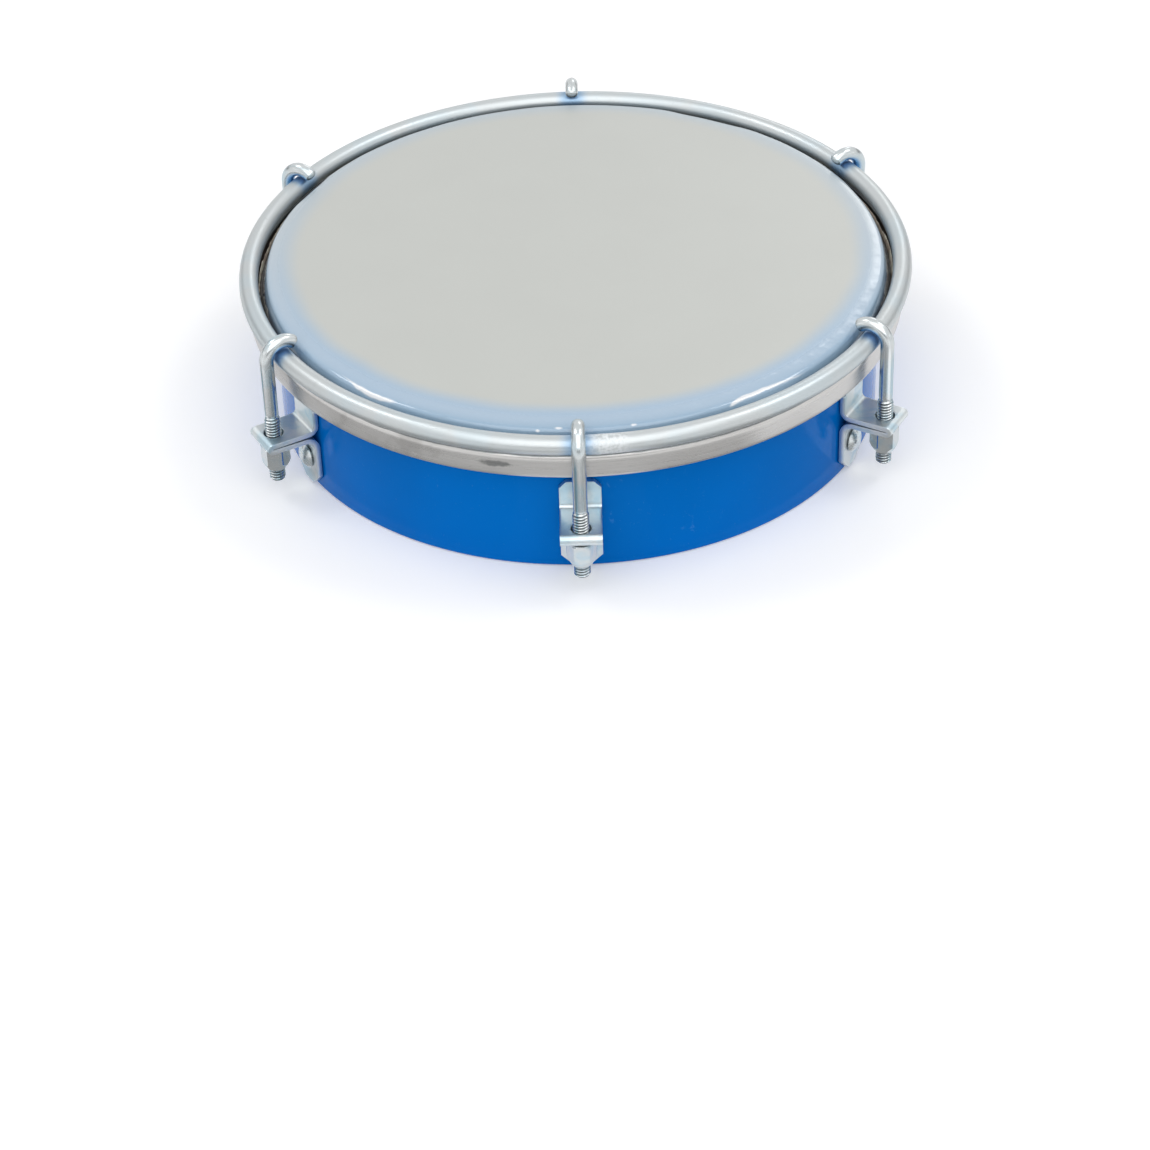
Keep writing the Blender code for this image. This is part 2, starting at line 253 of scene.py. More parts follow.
def turned(profile, columns, out_change=0.0, up_change=0.0):
    """Each profile point (out, up) is carried round the Z axis: (out sin a, -out cos a, up).
    out_change and up_change, one row per profile point and one column per angle, are added."""
    angle = ring_of(columns)
    out, up = profile.T[:, :, None]
    out = out + out_change
    return points_at(out * np.sin(angle), -out * np.cos(angle), up + up_change)


def walled(path, thickness):
    """A closed outline (out, up) round an open path: each point moves half the wall to either
    side, along the mean normal of the two stretches that meet there, lengthened at bends."""
    step = np.diff(path, axis=0)
    step /= np.linalg.norm(step, axis=1)[:, None]
    before = np.vstack([step[:1], step])
    after = np.vstack([step, step[-1:]])
    normal = before + after
    normal = points_at(normal[:, 1], -normal[:, 0])
    normal /= np.linalg.norm(normal, axis=1)[:, None]
    side = points_at(before[:, 1], -before[:, 0])
    normal /= (normal * side).sum(axis=1)[:, None]
    half = thickness / 2
    return np.vstack([path - normal * half, (path + normal * half)[::-1]])


def on_lug(points, number):
    """Turns points (side, out, up) of a lug's own axes to their place on the drum."""
    angle = (number - 1) * 2 * math.pi / len(LUGS)
    side, out, up = np.moveaxis(points, -1, 0)
    return points_at(out * math.sin(angle) + side * math.cos(angle),
                     -out * math.cos(angle) + side * math.sin(angle), up)


def ripple(angle, waves, seed):
    """A smooth wandering value round the drum: a few whole-numbered waves with random phases,
    added up, each weaker as it gets shorter."""
    phases = np.random.default_rng(seed).uniform(0, 2 * math.pi, len(waves))
    total = sum(np.sin(count * angle + phase) / math.sqrt(count)
                for count, phase in zip(waves, phases))
    return total / sum(1 / math.sqrt(count) for count in waves)


# Materials

def rgba(colour, factor=1.0):
    """A socket's colour from a setting, lighter or darker by a factor."""
    return (*(min(1.0, factor * part) for part in colour), 1.0)


class Wiring:
    """Adds nodes to a shader tree and joins them. What goes into a socket is a number, a
    colour or another node's output."""

    def __init__(self, tree):
        self.tree = tree

    def give(self, node, values):
        """Fills a node's sockets, given by name or number."""
        for socket, value in values.items():
            if isinstance(value, NodeSocket):
                self.tree.links.new(value, node.inputs[socket])
            else:
                node.inputs[socket].default_value = value

    def node(self, kind, values=None, **settings):
        """A new node of a kind, with its settings and what goes into it."""
        node = self.tree.nodes.new("ShaderNode" + kind)
        for setting, value in settings.items():
            setattr(node, setting, value)
        self.give(node, values or {})
        return node

    def value_of(self, operation, *values, clamp=False):
        values = dict(enumerate(values))
        return self.node("Math", values, operation=operation, use_clamp=clamp).outputs[0]

    def times(self, first, second):
        return self.value_of("MULTIPLY", first, second)

    def plus(self, first, second, clamp=False):
        return self.value_of("ADD", first, second, clamp=clamp)

    def minus(self, first, second):
        return self.value_of("SUBTRACT", first, second)

    def scaled(self, value, factor, offset):
        return self.value_of("MULTIPLY_ADD", value, factor, offset)

    def ramp(self, value, low, high, to_low=0.0, to_high=1.0):
        """Carries low..high smoothly to to_low..to_high."""
        ends = {"Value": value, "From Min": low, "From Max": high,
                "To Min": to_low, "To Max": to_high}
        return self.node("MapRange", ends, interpolation_type="SMOOTHSTEP").outputs["Result"]

    def painted(self, colour, *coats):
        """A colour under coats, each given as its share and its own colour."""
        for share, coat in coats:
            mix = self.node("Mix", {0: share, 6: colour, 7: coat}, data_type="RGBA")
            colour = mix.outputs[2]
        return colour

    def noise(self, vector, scale, detail=3.0, roughness=0.5, distortion=0.0):
        return self.node("TexNoise", {
            "Vector": vector, "Scale": scale, "Detail": detail,
            "Roughness": roughness, "Distortion": distortion}).outputs["Fac"]

    def place(self):
        return self.node("TexCoord").outputs["Object"]

    def axes(self, vector):
        return self.node("SeparateXYZ", {0: vector}).outputs

    def length(self, vector):
        return self.node("VectorMath", {0: vector}, operation="LENGTH").outputs["Value"]

    def mark(self, name):
        """A mark kept with the mesh, by the attribute's name."""
        return self.node("Attribute", attribute_name=name).outputs["Fac"]

    def group(self, name, maker, values):
        """What comes out of a shared group, which is made at its first use."""
        shared = bpy.data.node_groups.get(name) or maker(name)
        return self.node("Group", values, node_tree=shared).outputs

    def seen_by_eye(self):
        """One for the camera's rays and for rays that metal or glass sends on, else nought."""
        path = self.node("LightPath").outputs
        seen = self.value_of("MAXIMUM", path["Is Camera Ray"], path["Is Glossy Ray"])
        return self.value_of("MAXIMUM", seen, path["Is Transmission Ray"])

    def finish(self, shader, colour, rough, height, distance, strength):
        """Joins colour, roughness and the bump of a height to the shader."""
        bump = self.node("Bump", {"Height": height, "Distance": distance, "Strength": strength})
        self.give(shader, {"Base Color": colour, "Roughness": rough,
                           "Normal": bump.outputs["Normal"]})


def new_group(name, inputs, outputs):
    """A shader node group with its sockets: its wiring, what comes in, and its last node."""
    group = bpy.data.node_groups.new(name, "ShaderNodeTree")

    def add_socket(label, in_out, is_colour):
        kind = "NodeSocketColor" if is_colour else "NodeSocketFloat"
        return group.interface.new_socket(label, in_out=in_out, socket_type=kind)

    for label, value in inputs.items():
        add_socket(label, "INPUT", isinstance(value, tuple)).default_value = value
    for label in outputs:
        add_socket(label, "OUTPUT", label == "Colour")
    first = group.nodes.new("NodeGroupInput")
    return group, Wiring(group), first.outputs, group.nodes.new("NodeGroupOutput")


def worn_plating(name):
    """Plating that isn't quite even: a tint in soft patches, a fine grain in the roughness,
    a slight waviness from drawing and bending, and small pits and rubbed spots."""
    group, wires, given, result = new_group(name, {
        "Colour": (0.7, 0.7, 0.7, 1), "Tint": (0.5, 0.6, 0.7, 1), "Tint amount": 0.5,
        "Patch scale": 90.0, "Waves": 1.0, "Roughness": 0.25, "Spots": 0.2},
        ("Colour", "Roughness", "Height"))
    grain_scale = 1500.0
    wave_scale = 350.0
    spots_per_patch = 7.0
    place = wires.place()
    patches = wires.noise(place, given["Patch scale"], 3.0, 0.55, 0.4)
    tint = wires.times(wires.ramp(patches, 0.42, 0.66), given["Tint amount"])
    grain = wires.noise(place, grain_scale, 4.0, 0.6)
    spots = wires.noise(place, wires.times(given["Patch scale"], spots_per_patch), 5.0, 0.65)
    spots = wires.times(wires.ramp(spots, 0.60, 0.74), given["Spots"])
    waves = wires.noise(place, wave_scale, 2.0, 0.5)
    colour = wires.painted(given["Colour"], (tint, given["Tint"]), (spots, (0.20, 0.21, 0.22, 1)))
    rough = wires.plus(wires.scaled(grain, 0.16, -0.08), given["Roughness"])
    rough = wires.plus(rough, wires.times(spots, 0.35), clamp=True)
    height = wires.minus(wires.times(grain, 0.3), spots)
    height = wires.plus(height, wires.times(waves, given["Waves"]))
    wires.give(result, {"Colour": colour, "Roughness": rough, "Height": height})
    return group


def handling_marks(name):
    """Handling marks: faint smears and hairlines, kept to a few patches, and specks of dust."""
    group, wires, given, result = new_group(
        name, {"Scratches": 0.5, "Dust": 0.3}, ("Scratches", "Dust"))
    place = wires.place()
    drawn_out = wires.node("Mapping", {
        "Vector": place, "Rotation": (0.5, 0.9, 0.3), "Scale": (520, 150, 260)})
    smears = wires.noise(drawn_out.outputs["Vector"], 1.0, 6.0, 0.62, 1.2)
    where = wires.ramp(wires.noise(place, 33.0, 1.0), 0.56, 0.66)
    smears = wires.times(wires.ramp(smears, 0.60, 0.72), where)
    dust = wires.ramp(wires.noise(place, 1900.0, 2.0), 0.68, 0.74)
    wires.give(result, {"Scratches": wires.times(smears, given["Scratches"]),
                        "Dust": wires.times(dust, given["Dust"])})
    return group


def new_material(name, roughness, metallic=0.0):
    """A node material, its wiring and its Principled shader."""
    material = bpy.data.materials.new(name)
    material.use_nodes = True
    wires = Wiring(material.node_tree)
    shader = material.node_tree.nodes["Principled BSDF"]
    wires.give(shader, {"Roughness": roughness, "Metallic": metallic})
    return material, wires, shader


def plated_material(name, roughness, tint_amount, patch_scale, spots, waves=1.0, bright=1.0,
                    marks=()):
    """Bright zinc plating, through the shared group of worn plating. Among the marks that it
    can show, the thread's root gets painted shade and is dulled, dark and light painted
    reflections run in lines along the drawn rod, weld frosts the ring where it was joined,
    and the corners between hook and ring get painted blue shade."""
    colours = bpy.context.scene.tamborim_colours
    material, wires, shader = new_material(name, roughness, 0.92)
    worn = wires.group("Worn plating", worn_plating, {
        "Colour": rgba(colours.zinc, bright), "Tint": rgba(colours.zinc_tint),
        "Tint amount": tint_amount, "Patch scale": patch_scale, "Waves": waves,
        "Roughness": roughness, "Spots": spots})
    colour = worn["Colour"]
    rough = worn["Roughness"]
    # Painted reflections: dark and light lines along the rod.
    if "streak" in marks:
        streak = wires.mark("streak")
        dark = wires.ramp(streak, 0.15, 0.65, 0.0, 0.80)
        light = wires.ramp(streak, -0.50, -0.15, 0.55, 0.0)
        colour = wires.painted(
            colour, (dark, (0.10, 0.28, 0.38, 1)), (light, (0.92, 0.95, 0.97, 1)))
    # Painted shade in the thread's root, which is also dulled.
    if "groove" in marks:
        deep = wires.ramp(wires.mark("groove"), 0.15, 0.95)
        colour = wires.painted(colour, (wires.times(deep, 0.85), (0.06, 0.075, 0.085, 1)))
        rough = wires.plus(rough, wires.times(deep, 0.25))
    # Painted blue shade in the corners between hook and ring.
    if "pool" in marks:
        pool = wires.times(wires.mark("pool"), 0.80)
        colour = wires.painted(colour, (pool, (0.07, 0.32, 0.62, 1)))
    if "weld" in marks:
        speckle = wires.ramp(wires.noise(wires.place(), 1300.0, 4.0, 0.65), 0.40, 0.56)
        frost = wires.times(wires.mark("weld"), speckle)
        colour = wires.painted(colour, (wires.times(frost, 0.5), (0.90, 0.92, 0.94, 1)))
        rough = wires.plus(rough, wires.times(frost, 0.30))
    wires.finish(shader, colour, rough, worn["Height"], 0.03 * MM, 0.5)
    return material


def shell_material():
    """Glossy blue plastic with a few faint scuffs and specks."""
    blue = bpy.context.scene.tamborim_colours.shell
    material, wires, shader = new_material("Blue plastic", 0.16)
    wires.give(shader, {"IOR": 1.22, "Specular Tint": (0.05, 0.55, 1.0, 1.0)})
    place = wires.place()
    marks = wires.group("Handling marks", handling_marks, {"Scratches": 0.25, "Dust": 0.06})
    cloud = wires.ramp(wires.noise(place, 26.0, 2.0), 0.35, 0.65)
    colour = wires.painted(
        rgba(blue), (cloud, rgba(blue, 0.93)), (marks["Scratches"], (0.12, 0.34, 0.72, 1)),
        (marks["Dust"], (0.30, 0.48, 0.75, 1)))
    rough = wires.scaled(marks["Scratches"], 0.35, 0.13)
    wires.finish(shader, colour, rough, wires.noise(place, 160.0, 2.0), 0.10 * MM, 0.35)
    return material


def film_material():
    """Milky film: even in the middle, with the blue of the shell's edge under it painted in
    towards the edge as shine-through, painted glints of the lamps on the bend, and painted
    shade at its foot, where it goes down into the resin. The painted blue is wider and
    stronger at the front, where the light falls, and painted shade deepens it at the bend.
    The collar past the bend is smoother than the frosted crown. Distances are from a point
    2.5 mm behind the axis."""
    colours = bpy.context.scene.tamborim_colours
    material, wires, shader = new_material("Milky film", 0.34)
    place = wires.place()
    centred = wires.node("Mapping", {
        "Vector": place, "Location": (0.0, -2.5 * MM, 0.0), "Scale": (1.0, 1.0, 0.0)})
    reach = wires.length(centred.outputs["Vector"])
    cloud = wires.noise(place, 45.0, 3.0)
    distance = wires.plus(reach, wires.scaled(cloud, 2.4 * MM, -1.2 * MM))
    axes = wires.axes(place)
    # Painted shine-through of the shell's blue near the edge, stronger at the front where the
    # light falls.
    band = wires.times(wires.ramp(distance, 68.5 * MM, 74.5 * MM),
                       wires.ramp(axes["Y"], -55 * MM, 35 * MM, 1.0, 0.42))
    # Painted shade where the film bends down over the shell's edge.
    edge = wires.ramp(distance, 76.0 * MM, 80.0 * MM)
    # Painted shade at the film's foot, down in the channel by the resin.
    foot = wires.ramp(axes["Z"], 37.0 * MM, 38.9 * MM, 0.75, 0.0)
    collar = wires.ramp(reach, 73.5 * MM, 76.0 * MM)
    bend_blue = tuple(np.multiply(colours.film_rim, (0.78, 0.86, 0.90)))
    marks = wires.group("Handling marks", handling_marks, {"Scratches": 0.06})
    # Painted glints: the lamps' highlights on the bend, painted white into the film.
    white = wires.ramp(wires.mark("crease"), 0.10, 0.75)
    colour = wires.painted(
        rgba(colours.film), (wires.ramp(cloud, 0.30, 0.70), rgba(colours.film, 0.985)),
        (band, rgba(colours.film_rim)), (edge, rgba(bend_blue)), (foot, (0.08, 0.07, 0.08, 1)),
        (marks["Scratches"], (0.8, 0.8, 0.8, 1)), (white, (0.88, 0.90, 0.93, 1)))
    grain = wires.noise(place, 1400.0, 3.0)
    rough = wires.minus(wires.scaled(grain, 0.10, 0.30), wires.times(collar, 0.22))
    wires.give(shader, {"Coat IOR": 1.8, "Coat Roughness": 0.06,
                        "Coat Weight": wires.times(collar, 0.4)})
    dimples = wires.times(wires.times(collar, wires.noise(place, 210.0, 2.0)), 0.35)
    height = wires.plus(wires.times(grain, 0.02), dimples)
    wires.finish(shader, colour, rough, height, 1.0 * MM, 0.5)
    return material


def aluminium_material():
    """Rolled aluminium: fine streaks that run round the hoop, dull smudges, small dents, one
    rubbed spot and a painted shadow line under the ring."""
    silver = bpy.context.scene.tamborim_colours.aluminium
    material, wires, shader = new_material("Rolled aluminium", 0.36, 1.0)
    place = wires.place()
    flattened = wires.node("VectorMath", {0: place, 1: (1.0, 1.0, 110.0)}, operation="MULTIPLY")
    streaks = wires.noise(flattened.outputs["Vector"], 60.0, 4.0, 0.6)
    smudge = wires.ramp(wires.noise(place, 75.0, 4.0, 0.6), 0.60, 0.72)
    spot = wires.node("Mapping", {
        "Vector": place, "Location": (-19.7 * MM, -80.0 * MM, 33.1 * MM),
        "Rotation": (0.0, 0.0, math.radians(-13.7)),
        "Scale": (5.0 * MM, 4.0 * MM, 1.1 * MM)}, vector_type="TEXTURE")
    from_spot = wires.length(spot.outputs["Vector"])
    rubbed = wires.ramp(
        wires.minus(from_spot, wires.noise(place, 500.0, 4.0)), 0.0, 0.5, 0.75, 0.0)
    # Painted shadow just under the ring, its edge made uneven.
    uneven = wires.scaled(wires.noise(place, 260.0, 3.0), 0.4 * MM, -0.2 * MM)
    grime = wires.ramp(wires.plus(wires.axes(place)["Z"], uneven),
                       hoop_high.z - 0.75 * MM, hoop_high.z - 0.50 * MM, 0.0, 0.72)
    colour = wires.painted(
        rgba(silver, 0.88), (wires.ramp(streaks, 0.30, 0.75), rgba(silver)),
        (wires.times(smudge, 0.45), (0.36, 0.35, 0.34, 1)), (rubbed, (0.16, 0.17, 0.17, 1)),
        (grime, (0.05, 0.07, 0.08, 1)))
    height = wires.plus(streaks, wires.times(wires.noise(place, 320.0), 0.8))
    wires.finish(shader, colour, wires.scaled(streaks, 0.14, 0.22), height, 0.03 * MM, 0.6)
    return material


def resin_material():
    """Cast resin: cloudy, painted dark with shade where it lies deep, and painted a light tan
    where its ragged crest catches light."""
    tan = bpy.context.scene.tamborim_colours.resin
    roughness = 0.35
    material, wires, shader = new_material("Cast resin", roughness)
    place = wires.place()
    cloud = wires.ramp(wires.noise(place, 240.0, 4.0), 0.35, 0.65)
    # Painted shade where the resin lies deep; elsewhere the tan is painted lighter, as lit.
    sunk = wires.ramp(wires.mark("groove"), 0.35, 0.90)
    colour = wires.painted(rgba(tan, 1.9), (cloud, rgba(tan)), (sunk, rgba(tan, 0.06)))
    wires.finish(shader, colour, roughness, wires.noise(place, 900.0), 0.1 * MM, 0.6)
    return material


# Pieces

class TAMBORIM_OT_shell(Operator):
    """Makes the blue shell: a turned ring with a rounded bearing edge and eased lower edges"""
    bl_idname = "tamborim.shell"
    bl_label = "Shell"

    def execute(self, context):
        sizes = context.scene.tamborim_sizes
        outer = SHELL_RADIUS
        inner = outer - sizes.shell_wall
        top = shell_high.z
        bearing = sizes.bearing_edge
        ease = 0.45 * MM
        outline = np.vstack([
            arc((inner + ease, ease), ease, 180, 270, 4),
            arc((outer - ease, ease), ease, 270, 360, 4),
            line((outer, 2 * ease), (outer, top - bearing), 12),
            arc((outer - bearing, top - bearing), bearing, 0, 90, 8),
            arc((inner + bearing, top - bearing), bearing, 90, 180, 6),
            line((inner, top - 2 * bearing), (inner, 2 * ease), 12)])
        grid_piece("blue_shell", turned(outline, 360), shell_material(), "shell_and_lugs",
                   "shell_blue", ["shell"], wrap_rows=True)
        return {"FINISHED"}


def creases(outline, centre, bend, angle):
    """How much painted glint the film has, by profile point and angle: two long painted
    highlights of the lamps along the bend and three painted specks of light. Places along
    the profile, in mm, count from where the bend starts. Each long highlight is four lists:
    headings, places, half widths and strengths."""
    out = outline[:, 0] - centre[0]
    up = outline[:, 1] - centre[1]
    turn = np.clip(math.pi / 2 - np.arctan2(up, np.maximum(out, 1e-9)), 0, math.pi / 2)
    along = np.where(out <= 0, out, bend * turn + np.maximum(-up, 0))[:, None] / MM
    heading = away_from(0, angle)
    total = np.zeros((len(outline), angle.size))
    for headings, places, widths, strengths in (
            ((27.0, 28.0, 30.5, 35.0, 38.8, 42.3, 46.0), (1.7, 1.2, 0.35, 0.35, 0.6, 1.2, 1.4),
             (0.30, 0.45, 0.65, 0.60, 0.50, 0.40, 0.30), (0.0, 0.9, 1.0, 0.85, 0.6, 0.45, 0.0)),
            ((-48.0, -44.8, -42.7, -39.8, -37.5, -35.0, -33.0),
             (0.0, 0.3, 0.8, 1.1, 1.0, 0.8, 0.6), (0.25, 0.35, 0.60, 0.65, 0.65, 0.55, 0.35),
             (0.2, 0.5, 0.9, 1.0, 1.0, 0.7, 0.0))):
        place = np.interp(heading, headings, places) + 0.12 * ripple(angle, (61, 113, 187), 5)
        strength = np.interp(heading, headings, strengths, left=0, right=0)
        total += strength * swell(along, place, np.interp(heading, headings, widths))
    for middle, place, width in ((-7.0, 1.3, 0.35), (-3.4, 0.5, 0.60), (9.7, 0.8, 0.40)):
        total += swell(heading, middle, width) * swell(along, place, 0.35)
    return total


class TAMBORIM_OT_drumhead(Operator):
    """Makes the film head: flat crown, tight bend over the edge, sloping collar and skirt"""
    bl_idname = "tamborim.drumhead"
    bl_label = "Drumhead"

    def execute(self, context):
        sizes = context.scene.tamborim_sizes
        half = sizes.film / 2
        crown = film_high.z - half
        bend = sizes.collar_bend
        centre = (SHELL_RADIUS + sizes.collar_overhang - half - bend, crown - bend)
        foot = (film_high.x - half, resin_high.z)
        run = foot[0] - centre[0]
        fall = centre[1] - foot[1]
        leave = math.degrees(math.acos(bend / math.hypot(run, fall)) - math.atan2(fall, run))
        flat = centre[0] - 4.0 * MM
        path = np.vstack([
            line((0.0, crown), (flat, crown), 20),
            line((flat, crown), (centre[0], crown), 14),
            arc(centre, bend, 90, leave, 14)])
        path = np.vstack([
            path, line(path[-1], foot, 14)[1:],
            line(foot, (foot[0], film_low.z), 6), [(foot[0], film_low.z)]])
        outline = walled(path, sizes.film)
        outline[[0, -1], 0] = 0.0
        columns = 720
        angle = ring_of(columns)
        turn = math.radians((90 + leave) / 2)
        inward = -np.array([math.cos(turn), math.sin(turn)])
        corner = centre - bend * inward
        near = swell(np.linalg.norm(outline - corner, axis=1), 0.0, 2.0 * MM)[:, None]
        dent = 0.07 * MM * (1 + ripple(angle, (5, 11, 17, 26, 39, 55), 12))
        for heading, width, depth in (
                (36.0, 6.5, 0.45), (-41.0, 7.0, 0.40), (152.0, 8.0, 0.40), (-118.0, 5.0, 0.35)):
            dent += depth * MM * swell(away_from(heading, angle), 0.0, width, 4)
        points = turned(outline, columns, inward[0] * near * dent, inward[1] * near * dent)
        # The film keeps its painted glints as a mark.
        grid_piece("film_head", points, film_material(), "head", "head_film", ["drumhead"],
                   crease=creases(outline, centre, bend + half, angle))
        return {"FINISHED"}


def shoulder_centre(sizes):
    """The middle, out and up, of the arc by which the hoop's outer wall curves in. It rises to
    just under the ring that presses on it."""
    return (hoop_high.x - sizes.hoop_shoulder,
            hoop_high.z + SHOULDER_RISE - sizes.hoop_shoulder)


class TAMBORIM_OT_flesh_hoop(Operator):
    """Makes the aluminium channel that holds the film, with rolled edges"""
    bl_idname = "tamborim.flesh_hoop"
    bl_label = "Flesh hoop"

    def execute(self, context):
        sizes = context.scene.tamborim_sizes
        wall = sizes.hoop_wall
        outer = hoop_high.x
        inner = SHELL_RADIUS + 0.7 * MM
        low = hoop_low.z
        top = hoop_high.z
        corner = 0.7 * MM
        shoulder = sizes.hoop_shoulder
        reach = 68
        lip = wall / 2
        over = shoulder_centre(sizes)
        turn = math.radians(reach)
        tip = (over[0] + (shoulder - lip) * math.cos(turn),
               over[1] + (shoulder - lip) * math.sin(turn))
        outline = np.vstack([
            arc((inner + corner, low + corner), corner, 180, 270, 5),
            arc((outer - corner, low + corner), corner, 270, 360, 5),
            line((outer, low + 2 * corner), (outer, over[1]), 8),
            arc(over, shoulder, 0, reach, 14),
            arc(tip, lip, reach, reach + 180, 6)[1:-1],
            arc(over, shoulder - wall, reach, 0, 8),
            line((outer - wall, over[1]), (outer - wall, low + wall), 6)[1:],
            line((outer - wall, low + wall), (inner + wall, low + wall), 6),
            line((inner + wall, low + wall), (inner + wall, top - lip), 6),
            arc((inner + lip, top - lip), lip, 0, 180, 8),
            line((inner, top - 2 * lip), (inner, low + corner), 6)])
        grid_piece("channel_hoop", turned(outline, 432), aluminium_material(), "head",
                   "hoop_aluminium", ["flesh_hoop"], wrap_rows=True)
        return {"FINISHED"}


class TAMBORIM_OT_resin(Operator):
    """Makes the resin in the channel, its top wavy from being poured, with a ragged ridge"""
    bl_idname = "tamborim.resin"
    bl_label = "Resin"

    def execute(self, context):
        sizes = context.scene.tamborim_sizes
        outer = resin_high.x
        inner = film_high.x + 0.1 * MM
        low = resin_low.z
        top = resin_high.z - 0.9 * MM
        bend = sizes.hoop_shoulder - sizes.hoop_wall
        over = shoulder_centre(sizes)
        under = arc(over, bend, 0, math.degrees(math.asin((top - over[1]) / bend)), 5)
        columns = 900
        across = np.concatenate([[1.0, 0.85], np.linspace(0.75, 0.15, 22), [0.0]])
        surface = inner + (under[-1, 0] - inner) * across
        outline = np.vstack([
            line((inner, low), (outer, low), 4), line((outer, low), under[0], 4), under[:-1],
            points_at(surface, top), line((inner, top), (inner, low), 4)[1:]])
        out, up = outline.T[:, :, None]
        angle = ring_of(columns)
        waves = 0.12 * MM * ripple(angle, (7, 19, 31, 53, 88, 131), 4)
        ragged = np.maximum(0.62 + 0.8 * ripple(angle, (5, 23, 47, 97, 160, 211), 9), 0.0)
        middle = RESIN_RIDGE + 0.15 * MM * ripple(angle, (9, 25, 60, 120), 21)
        ridge = swell(out, middle, 0.28 * MM) * ragged
        rise = waves + 1.7 * MM * np.minimum(ridge, 0.85)
        change = np.where(up >= top - 1e-9, rise, 0.0)
        # Share of painted shade for the resin's colour: all of it but the crest.
        crest = np.where(change > 0, np.clip(ridge * 2.6, 0, 1), 0.0)
        grid_piece("poured_resin", turned(outline, columns, up_change=change), resin_material(),
                   "head", "resin_amber", ["head_resin"], wrap_rows=True, groove=1 - crest)
        return {"FINISHED"}


class TAMBORIM_OT_tension_ring(Operator):
    """Makes the rod ring, closed by a ground butt weld near lug 1"""
    bl_idname = "tamborim.tension_ring"
    bl_label = "Tension ring"

    def execute(self, context):
        columns = 576
        section = arc((RING_RADIUS, RING_HEIGHT), RING_ROD, 0, 360, 36)[:-1]
        angle = ring_of(columns)
        weld_heading = 3.5
        ground_heading = 4.8
        swollen = 0.04 * MM * swell(away_from(weld_heading, angle), 0.0, 1.3)
        out, up = ((section - (RING_RADIUS, RING_HEIGHT)) / RING_ROD).T[:, :, None]
        rows = np.ones((len(section), 1))
        frost = swell(np.degrees(angle), ground_heading, 3.0, 4) * rows
        # Painted blue shade on the ring under each hook.
        pool = 0.62 * swell(away_from(0, angle, 60), 0.0, 2.5, 4) * rows
        material = plated_material("Zinc on the ring", 0.40, 0.16, 60.0, 0.12, waves=0.5,
                                   bright=0.90, marks=("weld", "pool"))
        points = turned(section, columns, out * swollen, up * swollen)
        grid_piece("rod_ring", points, material, "ring", "ring_zinc", ["tension_ring"],
                   wrap_rows=True, weld=frost, pool=pool)
        return {"FINISHED"}


def thread_height(up, angle, pitch):
    """The share of its full height that the thread has, by height and by angle, at the place
    up / pitch - angle / full turn: a flat root, a straight flank, a flat crest and a straight
    flank back."""
    turns = up[:, None] / pitch - angle[None, :] / (2 * math.pi)
    rise = 2 * np.abs(turns - np.floor(turns) - 0.5)
    root_share = 0.20
    flank_share = 0.62
    return np.clip((rise - root_share) / flank_share, 0.0, 1.0)


def hook_points(sizes):
    """A hook bolt in its lug's axes, how deep in the thread each point lies, for its painted
    shade, how near the ring each row is, and how much painted blue shade each point there
    gets, by how much it faces the ring. A circle is carried up the bolt's axis, round the
    ring's rod and on to the rounded tip: each row is turned by its heading about the rod's
    middle, at the hook's bend from it, and then moved ahead, square to that. Along the
    thread its radius is root + depth * thread_height, fading out at the top."""
    columns = 48
    angle = ring_of(columns)
    rod = HOOK_ROD
    low = bolt_low.z
    major = bolt_high.x
    pitch = sizes.thread_pitch
    root = major - sizes.thread_depth
    thread_top = low + THREAD_LENGTH
    chamfer = 0.5 * MM
    up = np.concatenate([[low, low], np.arange(low + 0.05 * MM, thread_top, pitch / 10),
                         np.linspace(thread_top, RING_HEIGHT, 24)[1:]])
    share = thread_height(up, angle, pitch)
    below_top = thread_top - up
    fade = np.clip(below_top / (1.6 * pitch), 0.0, 1.0)[:, None]
    threaded = (up < thread_top)[:, None]
    body = rod + (root - rod) * np.clip(below_top / (0.4 * pitch), 0, 1)[:, None]
    radius = np.where(threaded, body + sizes.thread_depth * share * fade, rod)
    radius = np.minimum(radius, (major - chamfer + (up - low))[:, None])
    radius[0] = 0.0
    sweep = 128
    tip_length = 0.62 * rod
    bend = np.radians(np.linspace(0, sweep, 40))[1:]
    dome = np.radians(np.linspace(0, 90, 9))[1:]
    hooked = rod * np.concatenate([np.ones(bend.size), np.cos(dome)])
    radius = np.concatenate([radius, hooked[:, None] * np.ones(columns)])
    heading = np.concatenate([0 * up, bend, np.full(dome.size, bend[-1])])[:, None]
    ahead = np.concatenate([up - RING_HEIGHT, 0 * bend, tip_length * np.sin(dome)])[:, None]
    away = HOOK_BEND + radius * np.cos(angle)
    points = points_at(radius * np.sin(angle),
                       RING_RADIUS + away * np.cos(heading) - ahead * np.sin(heading),
                       RING_HEIGHT + away * np.sin(heading) + ahead * np.cos(heading))
    # Painted shade share in the thread's root, fading out at the top.
    groove = np.where(threaded, (1 - share) * fade, 0.0)
    groove = np.concatenate([groove, np.zeros((hooked.size, columns))])
    near_ring = np.clip(ahead / (3 * MM) + 1, 0, 1)
    # Painted blue shade near the ring, on the side of the rod that faces it.
    pool = near_ring * np.clip((-np.cos(angle) - 0.05) / 0.55, 0, 1)
    return points, groove, near_ring, pool


